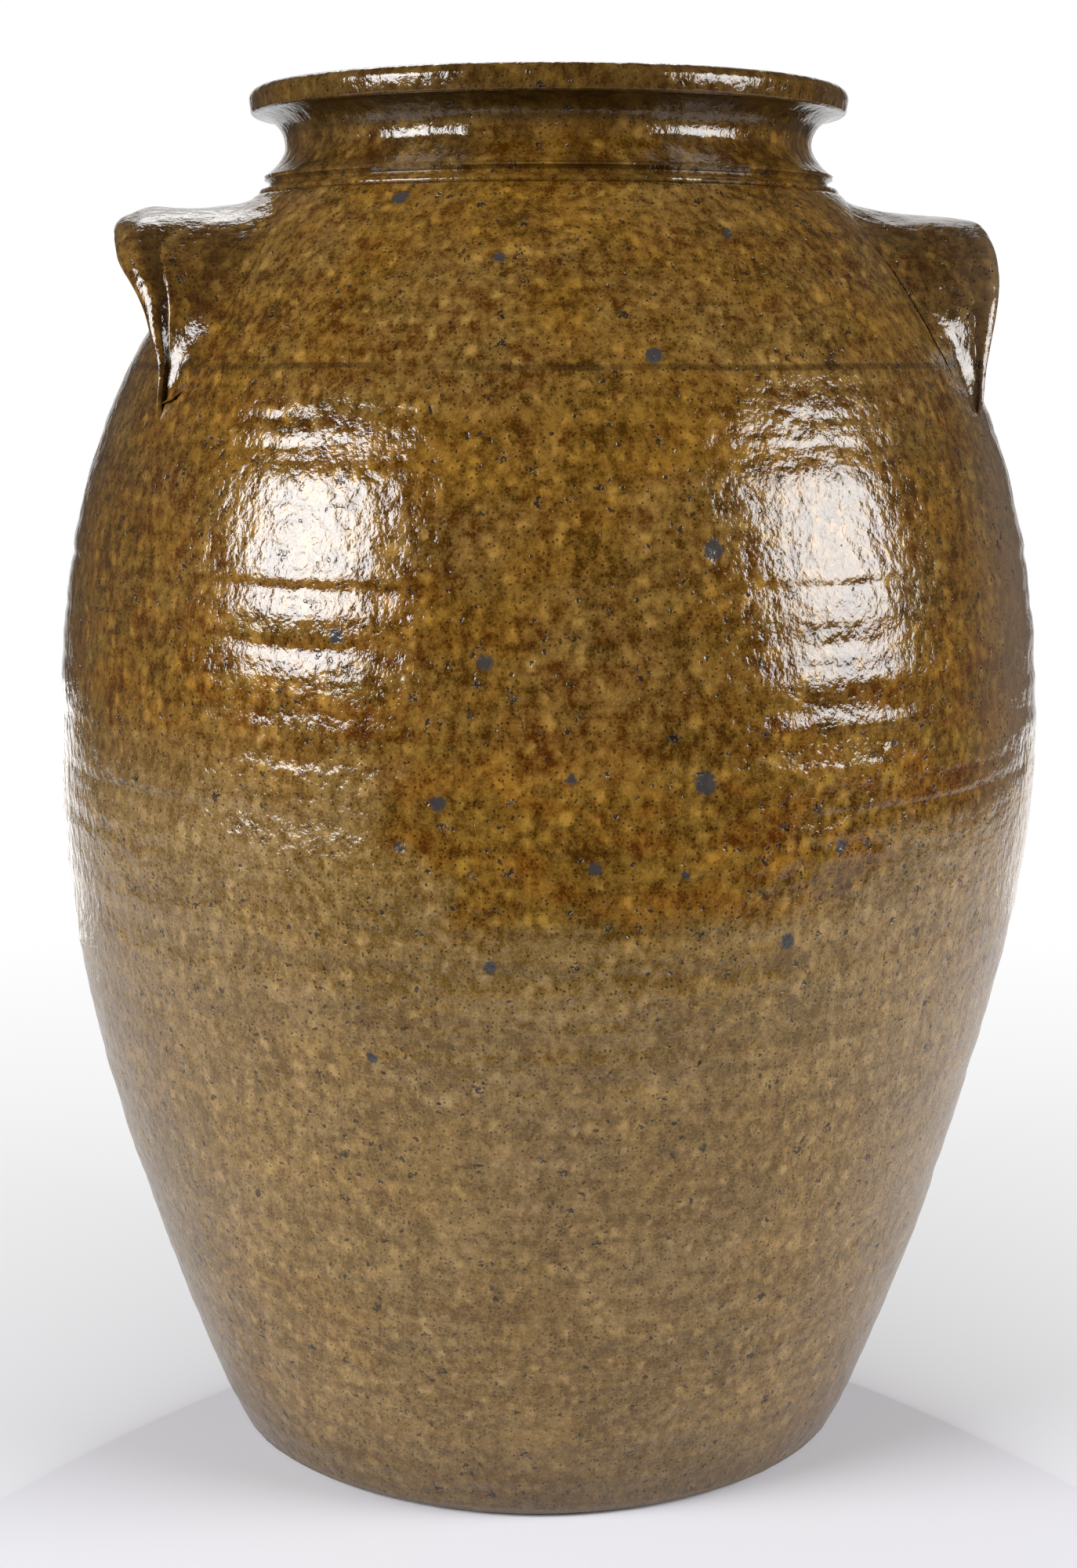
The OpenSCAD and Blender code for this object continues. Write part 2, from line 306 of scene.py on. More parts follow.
seat_in_r = SHOULDER_R - WALL_T / math.sin(SHOULDER_SLOPE)
outside = wall_line(0)
inside = np.vstack([wall_line(WALL_T), [seat_in_r, SHOULDER_H]])


def radius_at(line, height):
    return float(np.interp(height, line[:, 1], line[:, 0]))


def stretch(line, low, high):
    between = line[(line[:, 1] > low) & (line[:, 1] < high)]
    return np.vstack([[radius_at(line, low), low], between, [radius_at(line, high), high]])


def spaced(line, gap):
    line = np.array(line)
    lengths = np.concatenate([[0], np.cumsum(np.linalg.norm(np.diff(line, axis=0), axis=1))])
    count = max(2, round(lengths[-1] / gap) + 1)
    marks = np.linspace(0, lengths[-1], count)
    return np.stack([np.interp(marks, lengths, line[:, k]) for k in (0, 1)], 1)


# One tree throws every round piece. It spins a section, given as points, around the axis, then
# presses in the throwing rings, the uneven swells of the wall and the peel of the glaze. All
# three depend only on the place, so neighbouring pieces meet.
RINGS = [
    # height, half its width, depth, how far it is broken up
    (0.3250, 0.0026, 0.00026, 0.8), (0.3175, 0.0022, 0.00024, 0.7), (0.2805, 0.0034, 0.00055, 0.2),
    (0.2650, 0.0036, 0.00036, 0.7), (0.2480, 0.0050, 0.00026, 0.6), (0.2350, 0.0030, 0.00014, 0.9),
    (0.2200, 0.0030, 0.00030, 0.4), (0.2060, 0.0036, 0.00014, 0.8), (0.3480, 0.0034, 0.00018, 0.8)]
UPPER_OFFSET = 0.0028


def thrown_tree():
    tree = bpy.data.node_groups.new("thrown_on_the_wheel", "GeometryNodeTree")
    sockets = {}
    for name, kind, value in (
        ("Geometry", "NodeSocketGeometry", None),
        ("Around", "NodeSocketInt", 360),
        ("Closed", "NodeSocketInt", 1),
        ("Outer Points", "NodeSocketInt", 100),
        ("Ring Depth", "NodeSocketFloat", 0.0013),
        ("Ring Height", "NodeSocketFloat", 0.010),
        ("Swell Depth", "NodeSocketFloat", 0.0012),
        ("Swell Size", "NodeSocketFloat", 0.07),
        ("Peel Depth", "NodeSocketFloat", 0.0006),
        ("Peel Size", "NodeSocketFloat", 0.008),
        ("Material", "NodeSocketMaterial", None),
    ):
        sockets[name] = tree.interface.new_socket(name, in_out="INPUT", socket_type=kind)
        if value is not None:
            sockets[name].default_value = value
    tree.interface.new_socket("Geometry", in_out="OUTPUT", socket_type="NodeSocketGeometry")
    given = Wire(tree).node("NodeGroupInput")
    value = {name: given.other(name) for name in sockets}
    section = value["Geometry"]
    count = given.node("GeometryNodeAttributeDomainSize", {"Geometry": section}, component="MESH")
    columns = value["Around"] + 1
    grid = given.node(
        "GeometryNodeMeshGrid",
        {"Size X": 1.0, "Size Y": 1.0, "Vertices X": count + value["Closed"], "Vertices Y": columns})
    index = given.node("GeometryNodeInputIndex")
    row = given.math("FLOOR", (index + 0.5) / columns)
    column = index - row * columns
    row = given.math("MODULO", row, count)
    here = given.node("GeometryNodeInputPosition")
    sampled = given.node(
        "GeometryNodeSampleIndex",
        {"Geometry": section, "Value": here, "Index": row}, data_type="FLOAT_VECTOR")
    parts = given.node("ShaderNodeSeparateXYZ", {0: sampled})
    angle = column * (2 * math.pi) / value["Around"]
    spun = given.node("ShaderNodeCombineXYZ", {
        0: parts * given.math("COSINE", angle),
        1: parts * given.math("SINE", angle),
        2: parts.other("Z")})
    inner = given.math("GREATER_THAN", row, value["Outer Points"] - 0.5)
    marked = given.node(
        "GeometryNodeStoreNamedAttribute",
        {"Geometry": grid, "Name": "inside", "Value": inner}, data_type="FLOAT", domain="POINT")
    shaped = given.node("GeometryNodeSetPosition", {"Geometry": marked, "Position": spun})

    xyz = given.node("ShaderNodeSeparateXYZ", {0: here})
    height = xyz.other("Z")
    flat = here.scaled(1, 1, 0)
    outward = given.node("ShaderNodeVectorMath", {0: flat}, operation="NORMALIZE")
    ring_place = given.node("ShaderNodeCombineXYZ", {
        0: xyz * 2.2, 1: xyz.other("Y") * 2.2, 2: height / value["Ring Height"]})
    rings = given.noise(ring_place, 1.0, 1.5, 0.6) * value["Ring Depth"]
    swells = given.noise(here, 1.0 / value["Swell Size"], 1.0) * value["Swell Depth"]
    peel_place = here.scaled(1, 1, 0.6)
    peel = given.noise(peel_place, 1.0 / value["Peel Size"], 2.0, 0.55) * value["Peel Depth"]
    pressed = rings + swells + peel
    for ring_height, half_width, depth, broken in RINGS:
        wander = (given.noise(here, 9.0, 2.0) - 0.5) * 0.006
        off = given.math("ABSOLUTE", height - ring_height + wander)
        held = given.noise(here, 23.0 + 40 * ring_height, 1.0).ramp(0.34, 0.60, 1 - broken, 1.0)
        pressed = pressed + off.ramp(0.0, half_width, depth, 0.0) * held
    moved = given.node(
        "ShaderNodeVectorMath", {0: outward, "Scale": pressed * -1.0}, operation="SCALE")
    below_join = height.ramp(0.12, 0.24, 1.0, 0.0)
    offset = to_right * -UPPER_OFFSET
    shift = given.node(
        "ShaderNodeVectorMath", {0: tuple(offset), "Scale": below_join}, operation="SCALE")
    both = given.node("ShaderNodeVectorMath", {0: moved, 1: shift}, operation="ADD")
    pressed_in = given.node("GeometryNodeSetPosition", {"Geometry": shaped, "Offset": both})

    closed = given.node(
        "GeometryNodeMergeByDistance", {"Geometry": pressed_in, "Distance": 0.00001})
    smooth = given.node(
        "GeometryNodeSetShadeSmooth", {"Geometry": closed, "Shade Smooth": True}, domain="FACE")
    fold = given.node("GeometryNodeInputMeshEdgeAngle")
    corner = given.node(
        "FunctionNodeCompare", {0: fold, 1: math.radians(50)}, operation="GREATER_THAN")
    sharp = given.node(
        "GeometryNodeSetShadeSmooth",
        {"Geometry": smooth, "Selection": corner, "Shade Smooth": False}, domain="EDGE")
    real = given.node("GeometryNodeRealizeInstances", {"Geometry": sharp})
    painted = given.node(
        "GeometryNodeSetMaterial", {"Geometry": real, "Material": value["Material"]})
    given.node("NodeGroupOutput", {"Geometry": painted})
    return tree


THROWN = thrown_tree()


def throw(name, outer_line, inner_line, material, closed=True, **settings):
    points = np.vstack([outer_line, inner_line])
    section = bpy.data.meshes.new(name + "_section")
    section.from_pydata([(r, 0, z) for r, z in points], [], [])
    thing = bpy.data.objects.new(name, section)
    bpy.context.scene.collection.objects.link(thing)
    spin = thing.modifiers.new("thrown", "NODES")
    spin.node_group = THROWN
    values = {"Closed": int(closed), "Outer Points": len(outer_line), "Material": material, **settings}
    for item in THROWN.interface.items_tree:
        if item.in_out == "INPUT" and item.name in values:
            spin[item.identifier] = values[item.name]
    ready = thing.evaluated_get(bpy.context.evaluated_depsgraph_get())
    plain = bpy.data.meshes.new_from_object(ready)
    plain.name = name
    thing.modifiers.remove(spin)
    thing.data = plain
    form = bmesh.new()
    form.from_mesh(plain)
    bmesh.ops.recalc_face_normals(form, faces=form.faces)
    form.to_mesh(plain)
    form.free()
    return thing


# The ash glaze: glossy amber olive where the two dips overlap, thinner and tan below. It broke
# into soft pale drops, carries fine dark grit, and a few iron spots and blisters stand in it.
IRON_SPOTS = [
    (17, 292, 2.0), (12.5, 342, 1.7), (-6.5, 264, 1.7), (-22, 269, 1.7), (31, 211, 1.5),
    (15.5, 231, 2.1), (-11, 226, 1.5), (-15, 214, 1.0), (-6, 182, 1.4), (-26, 385, 1.7),
    (2, 233, 1.4), (32, 30, 1.1), (-7, 368, 1.2), (25, 186, 1.8), (4.5, 209, 1.5),
    (28, 375, 1.2), (-20, 253, 1.0), (13.5, 207, 1.2), (-8, 250, 1.0), (-19, 154, 1.0),
    (104, 330, 1.8), (151, 262, 2.0), (-127, 301, 1.6), (-160, 214, 1.9), (72, 120, 1.3)]


def glaze(name, bare_from=0.004):
    material = bpy.data.materials.new(name)
    material.use_nodes = True
    material.node_tree.nodes.clear()
    wire = Wire(material.node_tree)
    place = wire.node("ShaderNodeTexCoord", out="Object")
    xyz = wire.node("ShaderNodeSeparateXYZ", {0: place})
    height = xyz.other("Z")
    rightward = place.dot(to_right)
    forward = place.dot(to_viewer)
    turn = rightward.math("ARCTAN2", rightward, forward) * (180 / math.pi)

    # How far up the second dip's edge stands, which steps up at both sides
    wavy = turn + (wire.noise(place, 45, 2) - 0.5) * 14
    left = wavy.ramp(-9, -17)
    right = wavy.ramp(32, 40) * 0.5 + turn.ramp(56, 80) * 0.5
    side = left + right
    edge = 0.1905 + side * 0.035 + turn.math("ABSOLUTE", turn).ramp(24, 0, 0.004, 0)
    ragged = wire.noise(place, 60, 3, 0.6) - 0.5
    over = height - edge + ragged * 0.022
    front = forward.ramp(-0.10, -0.02)
    soft = 0.005 + (left * 0.012 + right * 0.002) * front
    inner = wire.node("ShaderNodeAttribute", attribute_name="inside", out="Fac")
    thick = (over / soft).ramp(-1.2, 1.2).math("MAXIMUM", (over / soft).ramp(-1.2, 1.2), inner)
    amber = (over / soft).ramp(-0.5, 1.2) * over.ramp(0.085, 0.02) * (1 - left * front * 0.35)
    lip_zone = height.ramp(0.386, 0.392)

    # Soft pale drops and smaller ones, their strength differing from cell to cell
    warp = wire.noise(place, 300, 2, out="Color").scaled(0.004, 0.004, 0.004)
    cells = place.plus(warp).scaled(1, 1, 0.8)
    drop = wire.voronoi(cells, 230)
    strength = wire.node("ShaderNodeSeparateColor", {0: drop.other("Color")})
    drops = drop.ramp(0.62, 0.0) * strength.ramp(0.1, 1.0)
    mottle = wire.noise(place.scaled(1, 1, 0.8), 330, 3, 0.62).ramp(0.36, 0.66, kind="LINEAR")
    clouds = wire.noise(place.scaled(1, 1, 0.6), 75, 3, 0.6).ramp(0.33, 0.70)
    broad = wire.noise(place.scaled(1, 1, 1.4), 24, 2).ramp(0.35, 0.65)
    grain = wire.noise(place, 1250, 3, 0.8).ramp(0.33, 0.67, kind="LINEAR")
    bands = wire.noise(place.scaled(5, 5, 170), 1.0, 3, 0.7).ramp(0.36, 0.62)

    patches = wire.noise(place.scaled(1, 1, 1.7), 62, 3, 0.6).ramp(0.38, 0.62)
    fine = grain * 0.35 + wire.noise(place, 2600, 2, 0.7).ramp(0.30, 0.70, kind="LINEAR") * 0.25
    pale = drops * 0.66 + mottle * 0.46 + clouds * 0.20 + bands * 0.14 + fine - 0.30
    top = pale.ramp(0.11, 1.10, kind="LINEAR").mix(
        patches.mix((0.0560, 0.0160, 0.0001, 1), (0.0430, 0.0170, 0.0001, 1)),
        broad.mix((0.3000, 0.1540, 0.0220, 1), (0.2950, 0.1720, 0.0420, 1)))
    amber_glaze = pale.ramp(0.10, 1.08, kind="LINEAR").mix(
        patches.mix((0.0680, 0.0160, 0.0001, 1), (0.0500, 0.0170, 0.0001, 1)),
        patches.mix((0.3500, 0.1660, 0.0200, 1), (0.3150, 0.1790, 0.0280, 1)))
    low = mottle * 0.36 + drops * 0.46 + clouds * 0.14 + bands * 0.14 + fine * 1.15 - 0.34
    low = low.ramp(0.10, 0.84, kind="LINEAR").mix(
        patches.mix((0.1150, 0.0570, 0.0060, 1), (0.1050, 0.0560, 0.0070, 1)),
        broad.mix((0.3600, 0.2220, 0.0680, 1), (0.3350, 0.2180, 0.0850, 1)))
    # Painted shade and painted reflection at the sides, which turn away from the softboxes. Low down, the glaze is
    # dimmed and drawn towards a pinkish painted sheen of the paper on the left and a greyer brown on the right. Higher
    # up it is greyed and darkened, and less so on the shoulder.
    round_from_front = turn.math("ABSOLUTE", turn)
    side_shade_and_sheen = round_from_front.ramp(26, 74) * round_from_front.ramp(105, 150, 1.0, 0.3)
    side_shade_and_sheen = side_shade_and_sheen * height.ramp(0.365, 0.30, 0.45, 1.0)
    leftward = rightward.ramp(0.05, -0.05)
    painted_side_sheen = leftward.mix((0.1850, 0.1270, 0.0980, 1), (0.1400, 0.0930, 0.0600, 1))
    low = (side_shade_and_sheen * 0.40).mix(low, painted_side_sheen).shaded(0.95 - side_shade_and_sheen * (leftward * 0.17 + 0.04))
    upper = (amber * 0.85).mix(top, amber_glaze)
    # Painted reflection: a pale grey-tan sheen on the upper wall towards its right silhouette
    painted_right_reflection = rightward.ramp(0.112, 0.142) * 0.6
    upper = (side_shade_and_sheen * 0.20).mix(upper, (0.0900, 0.0600, 0.0380, 1)).shaded(1 - side_shade_and_sheen * 0.42)
    upper = painted_right_reflection.mix(upper, (0.1500, 0.1050, 0.0720, 1))
    colour = thick.mix(low, upper)
    # Painted shade, darker towards the foot
    colour = (height.ramp(0.040, 0.0) * 0.55).mix(colour, (0.0700, 0.0420, 0.0200, 1))
    colour = (lip_zone * 0.28).mix(colour, (0.028, 0.0120, 0.0020, 1))
    # Painted shade in the cove under the lip, and the lip's face somewhat darker above it
    colour = (height.ramp(0.4035, 0.4065) * height.ramp(0.4112, 0.4130, 0.62, 0.36)).mix(colour, (0.016, 0.0090, 0.0030, 1))
    runs = wire.noise(place.scaled(1, 1, 0.45), 75, 2).ramp(0.46, 0.60) * lip_zone
    colour = (runs * height.ramp(0.4060, 0.4030) * 0.50).mix(colour, (0.022, 0.0090, 0.0010, 1))
    apart = (place.scaled(1, 0, 0).length() - 0.112) / 0.034
    by_lug = apart * apart + (place.dot((0, 1, 0)) / 0.062) ** 2.0 + ((height - 0.353) / 0.038) ** 2.0
    colour = (by_lug.ramp(1.5, 0.5) * 0.20).mix(colour, (0.024, 0.0100, 0.0012, 1))
    # Darker where the lug pieces mark it: in a band inside each lug's ridge and along the middle of each luting
    darkened = wire.node("ShaderNodeAttribute", attribute_name="darkened", out="Fac")
    colour = (darkened * 0.66).mix(colour, (0.0180, 0.0080, 0.0020, 1))

    # Grit and pits, in three sizes
    grit = wire.voronoi(place, 800)
    grit_pick = wire.node("ShaderNodeSeparateColor", {0: grit.other("Color")})
    specks = grit.ramp(0.36, 0.20) * grit_pick.ramp(0.62, 0.68)
    pit = wire.voronoi(place.plus(warp), 330)
    pit_pick = wire.node("ShaderNodeSeparateColor", {0: pit.other("Color")})
    pits = pit.ramp(0.26, 0.16) * pit_pick.ramp(0.78, 0.82)
    torn = wire.noise(place, 900, 2, out="Color").scaled(0.006, 0.006, 0.006)
    chips = wire.voronoi(place.plus(torn), 120)
    chip_pick = wire.node("ShaderNodeSeparateColor", {0: chips.other("Color")})
    chip = chips.ramp(0.16, 0.11) * chip_pick.ramp(0.60, 0.64)
    colour = (specks * 0.75).mix(colour, (0.012, 0.007, 0.003, 1))
    colour = (pits * 0.80).mix(colour, (0.014, 0.010, 0.007, 1))
    colour = (chip * 0.85).mix(colour, (0.010, 0.006, 0.003, 1))

    # The iron spots, with uneven rims
    spots = None
    wobble = (wire.noise(place, 420, 3, 0.7) - 0.5) * 0.0034
    for angle, tall, size in IRON_SPOTS:
        aim = math.radians(angle)
        r = radius_at(outside, tall / 1000)
        middle = (to_viewer * math.cos(aim) + to_right * math.sin(aim)) * r + up * (tall / 1000)
        away = place.distance(middle) + wobble
        spot = away.ramp(size * 0.0019, size * 0.0013)
        spots = spot if spots is None else spots.math("MAXIMUM", spots, spot)
    colour = (spots * 0.92).mix(colour, (0.034, 0.034, 0.037, 1))

    # The line around the shoulder, where the glaze is darker
    wander = (wire.noise(place, 9, 2) - 0.5) * 0.003
    cut = wire.math("ABSOLUTE", height + wander - 0.3385).ramp(0.0013, 0.0004)
    cut = cut * wire.noise(place, 24, 2).ramp(0.36, 0.52)
    colour = (cut * 0.55).mix(colour, (0.018, 0.008, 0.002, 1))

    # Bare clay under the foot and in a thin line around it
    bare = (height + ragged * 0.003).ramp(bare_from, bare_from - 0.0012)
    colour = bare.mix(colour, grain.mix((0.11, 0.075, 0.045, 1), (0.19, 0.14, 0.09, 1)))

    skin_height = wire.noise(place, 230, 2, 0.5) * thick.ramp(0, 1, 0.00070, 0.00036) + mottle * 0.00009
    skin_height = skin_height + wire.noise(place, 620, 2, 0.6) * thick.ramp(0, 1, 0.00024, 0.00006)
    skin_height = skin_height - pits * 0.00014 - chip * 0.00022 - spots * 0.00005
    bump = wire.node("ShaderNodeBump", {"Strength": 1.0, "Distance": 1.0, "Height": skin_height})
    rough = thick.ramp(0, 1, 0.19, 0.07, "LINEAR") + mottle * 0.07 + bare * 0.35
    skin = wire.node("ShaderNodeBsdfPrincipled", {
        "Base Color": colour, "Roughness": rough, "Normal": bump, "IOR": 1.48})
    wire.node("ShaderNodeOutputMaterial", {"Surface": skin})
    return material


ash_glaze = glaze("ash_glaze")
POINT_GAP = 0.0011
lower_out = spaced(stretch(outside, PAD_EDGE_H, JOIN_H), POINT_GAP)
lower_rim_mid = (radius_at(outside, JOIN_H) + radius_at(inside, JOIN_H)) / 2
lower_groove = [
    (lower_rim_mid + JOIN_TONGUE / 2, JOIN_H),
    (lower_rim_mid, JOIN_H - JOIN_TONGUE_DEPTH),
    (lower_rim_mid - JOIN_TONGUE / 2, JOIN_H)]
lower_in = spaced(stretch(inside, FLOOR_T, JOIN_H)[::-1], 4 * POINT_GAP)
lower_wall = throw(
    "lower_wall_thrown", lower_out, np.vstack([lower_groove, lower_in]), ash_glaze, Around=384)
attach(lower_wall, "root")
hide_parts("lower_wall")

# The floor pad: the beaten disc of clay that the jar stands on. It was cut from the wheel with
# a twisted wire, and its underside is bare.
FOOT_BEVEL = 0.0015
pad_out = np.vstack([
    [(0, 0)],
    spaced([(0.004, 0), (FOOT_R - FOOT_BEVEL, 0)], 0.006),
    spaced(stretch(outside, FOOT_BEVEL, PAD_EDGE_H), 0.0015)])
pad_in = [(radius_at(inside, FLOOR_T), FLOOR_T), (0.05, FLOOR_T), (0, FLOOR_T)]
floor_pad = throw("floor_pad_disc", pad_out, pad_in, ash_glaze, closed=False, Around=400)
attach(floor_pad, "root")
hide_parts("floor_pad")

# The upper wall: the second thrown section, turned upside down and set on the first with a
# tongue in its groove, then drawn in to the shoulder. The potter cut a line around it to place
# the lugs by.
LINE_H = 0.339
LINE_W = 0.0016
LINE_D = 0.00012
COLLAR_TONGUE = 0.004
COLLAR_TONGUE_DEPTH = 0.0025
upper_out = np.vstack([
    spaced(stretch(outside, JOIN_H, LINE_H - LINE_W / 2), POINT_GAP),
    [(radius_at(outside, LINE_H) - LINE_D, LINE_H)],
    spaced(stretch(outside, LINE_H + LINE_W / 2, SHOULDER_H), POINT_GAP)])
seat_mid = (SHOULDER_R + seat_in_r) / 2
upper_groove = [
    (seat_mid + COLLAR_TONGUE / 2, SHOULDER_H),
    (seat_mid, SHOULDER_H - COLLAR_TONGUE_DEPTH),
    (seat_mid - COLLAR_TONGUE / 2, SHOULDER_H)]
upper_in = spaced(stretch(inside, JOIN_H, SHOULDER_H)[::-1], 4 * POINT_GAP)
upper_wall = throw(
    "upper_wall_thrown", upper_out,
    np.vstack([upper_groove, upper_in, lower_groove[::-1]]), ash_glaze, Around=400)
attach(upper_wall, "root")
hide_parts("upper_wall")

# The collar: a ring of clay thrown onto the shoulder, with two fine ridges turned at its base.
JAR_H = 0.420
LIP_SEAT_H = 0.4055
NECK_R = 0.084
THROAT_R = 0.0755
THROAT_H = SHOULDER_H + 0.0135
WAIST_R = 0.0822
WAIST_H = SHOULDER_H + 0.0155
LOW_RIDGE_R = SHOULDER_R - 0.0009
HIGH_RIDGE_R = NECK_R + 0.005
ridge_line = [
    (LOW_RIDGE_R - 0.0008, SHOULDER_H), (LOW_RIDGE_R - 0.0002, SHOULDER_H + 0.0005),
    (LOW_RIDGE_R, SHOULDER_H + 0.0010), (LOW_RIDGE_R - 0.0004, SHOULDER_H + 0.0018),
    (HIGH_RIDGE_R - 0.0014, SHOULDER_H + 0.0027), (HIGH_RIDGE_R - 0.0018, SHOULDER_H + 0.0036),
    (HIGH_RIDGE_R - 0.0010, SHOULDER_H + 0.0044), (HIGH_RIDGE_R - 0.0001, SHOULDER_H + 0.0048),
    (HIGH_RIDGE_R - 0.0003, SHOULDER_H + 0.0053)]
flare_start = SHOULDER_H + 0.0058
flare = []
for z in np.linspace(flare_start, LIP_SEAT_H, 16):
    flare.append((WAIST_R + 0.0068 * ((WAIST_H - z) / (WAIST_H - flare_start)) ** 2, z))
neck_mid = (NECK_R + THROAT_R) / 2
collar_out = np.vstack([ridge_line, flare])
collar_in = np.vstack([
    [(neck_mid + COLLAR_TONGUE / 2, LIP_SEAT_H), (neck_mid, LIP_SEAT_H - COLLAR_TONGUE_DEPTH),
        (neck_mid - COLLAR_TONGUE / 2, LIP_SEAT_H), (THROAT_R, LIP_SEAT_H)],
    spaced([(THROAT_R, THROAT_H), (seat_in_r, SHOULDER_H)], 4 * POINT_GAP),
    upper_groove[::-1]])
collar = throw("neck_collar_thrown", collar_out, collar_in, ash_glaze, Around=400)
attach(collar, "root")
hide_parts("neck_collar")

# The lip: the rim rolled over outwards and pressed into a rounded band.
LIP_R = 0.093
LIP_FACE_H = 0.0078
lip_low = JAR_H - LIP_FACE_H


def arc(middle, radius, start, end, steps):
    turns = np.radians(np.linspace(start, end, steps))
    return np.stack([middle[0] + radius * np.cos(turns), middle[1] + radius * np.sin(turns)], 1)


cove = []
cove_r = (LIP_R - 0.0016 - flare[-1][0]) / math.cos(math.radians(15))
cove_h = (lip_low - LIP_SEAT_H) / (1 - math.sin(math.radians(15)))
for step in range(10):
    a = math.radians(15 + 75 * step / 10)
    cove.append((LIP_R - 0.0016 - cove_r * math.cos(a), lip_low - cove_h * (1 - math.sin(a))))
lip_out = np.vstack([
    cove,
    arc((LIP_R - 0.0016, lip_low + 0.0013), 0.0013, -90, 0, 6),
    arc((LIP_R - 0.0034, JAR_H - 0.0034), 0.0034, 0, 90, 10),
    arc((THROAT_R + 0.006, JAR_H - 0.007), 0.006, 90, 180, 10)])
lip_in = np.vstack([[(THROAT_R, LIP_SEAT_H)], collar_in[:3][::-1]])
lip = throw("lip_rolled", lip_out, lip_in, ash_glaze, Around=400)
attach(lip, "root")
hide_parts("lip_roll")

# The left lug: a thick slab of clay bent into an arch, leaned out and luted onto the shoulder. Its
# free edge is rounded by thumb and it thins out at its two feet.
ARCH_R = 0.066
LUG_LEAN = math.radians(12)
LUG_TOP_H = SHOULDER_H - 0.0047
LUG_SINK = 0.0038
LUG_T = 0.007
LUG_ROOT_T = 0.012
LUG_TAPER = 0.034
arch_h = LUG_TOP_H - ARCH_R * math.cos(LUG_LEAN)
arch_x = math.sqrt(radius_at(outside, arch_h) ** 2 - ARCH_R ** 2) - LUG_SINK
upper_skin = bmesh.new()
upper_skin.from_mesh(upper_wall.data)
wall_skin = BVHTree.FromBMesh(upper_skin)
upper_skin.free()
SQUARE = 3.4
LEFT_EDGE = [(40, 0.0012), (62, -0.0032), (72, -0.0034), (86, 0)]
RIGHT_EDGE = [(50, -0.0006), (73, -0.0013), (86, 0)]
LEFT_SHAPE = {"bevel_out": 0.0062, "bevel_r": 0.0040, "rise": 0.0016, "droop": 0.0016, "hollow": 0.0017, "darken": 1}
RIGHT_SHAPE = {"bevel_out": 0.0054, "bevel_r": 0.0036, "rise": 0, "droop": 0.0019, "hollow": 0.0004, "darken": 0.4}
TURNS = [math.radians(a) for a in np.linspace(-91, 91, 131)]


def ring_outer(out):
    return ARCH_R + out * math.tan(LUG_LEAN)


def fade(value, low, high):
    t = min(1.0, max(0.0, (value - low) / (high - low)))
    return t * t * (3 - 2 * t)


def slab_t(turn):
    return LUG_T * (1 - 0.70 * fade(abs(turn), math.radians(38), math.radians(86)))


class LugPlane:
    """The plane of one turn around a lug's axis: out runs along the axis and r away from it."""

    def __init__(self, side, turn):
        self.axis = Vector((side * math.cos(LUG_LEAN), 0, -math.sin(LUG_LEAN)))
        self.middle = Vector((side * arch_x, 0, arch_h))
        above = Vector((side * math.sin(LUG_LEAN), 0, math.cos(LUG_LEAN)))
        corner = abs(math.cos(turn)) ** SQUARE + abs(math.sin(turn)) ** SQUARE
        self.away = above * math.cos(turn) + Vector((0, math.sin(turn), 0))
        self.away *= corner ** (-1 / SQUARE)

    def point(self, out, r):
        return self.middle + self.axis * out + self.away * r

    def wall(self, r, slope=0.0):
        way = (self.axis + self.away * slope).normalized()
        start = self.point(0, r) + way * 0.06
        hit = wall_skin.ray_cast(start, -way)[0]
        return None if hit is None else (hit - self.middle).dot(self.axis)


def rough(place, size, depth):
    return noise_vector(place / size).x * depth


def skin_mesh(name, rings, darkening):
    form = bmesh.new()
    rows = [[form.verts.new(p) for p in ring] for ring in rings]
    for one, two in zip(rows, rows[1:]):
        for k in range(len(one)):
            n = (k + 1) % len(one)
            form.faces.new((one[k], one[n], two[n], two[k]))
    form.faces.new(rows[0][::-1])
    form.faces.new(rows[-1])
    bmesh.ops.recalc_face_normals(form, faces=form.faces)
    mesh = bpy.data.meshes.new(name)
    form.to_mesh(mesh)
    form.free()
    mesh.shade_smooth()
    darkened = mesh.attributes.new("darkened", "FLOAT", "POINT")
    darkened.data.foreach_set("value", darkening)
    thing = bpy.data.objects.new(name, mesh)
    bpy.context.scene.collection.objects.link(thing)
    return thing


def lug_scale(turn):
    return 1 - 0.76 * fade(abs(turn), math.radians(35), math.radians(86))


def edge_out(edge, turn):
    degrees = abs(math.degrees(turn))
    out = edge[0][1]
    for (start, before), (end, after) in zip(edge, edge[1:]):
        out += (after - before) * fade(degrees, start, end)
    return out


def swell(out, root, ridge, turn, shape):
    s = min(1.0, max(0.0, (out - root) / (ridge - root)))
    crown = math.cos(turn) ** 2
    over = shape["rise"] * math.sin(math.pi * s ** 3) - shape["droop"] * s ** 3
    return crown * over - (1 - crown) * shape["hollow"] * math.sin(math.pi * s ** 1.8)


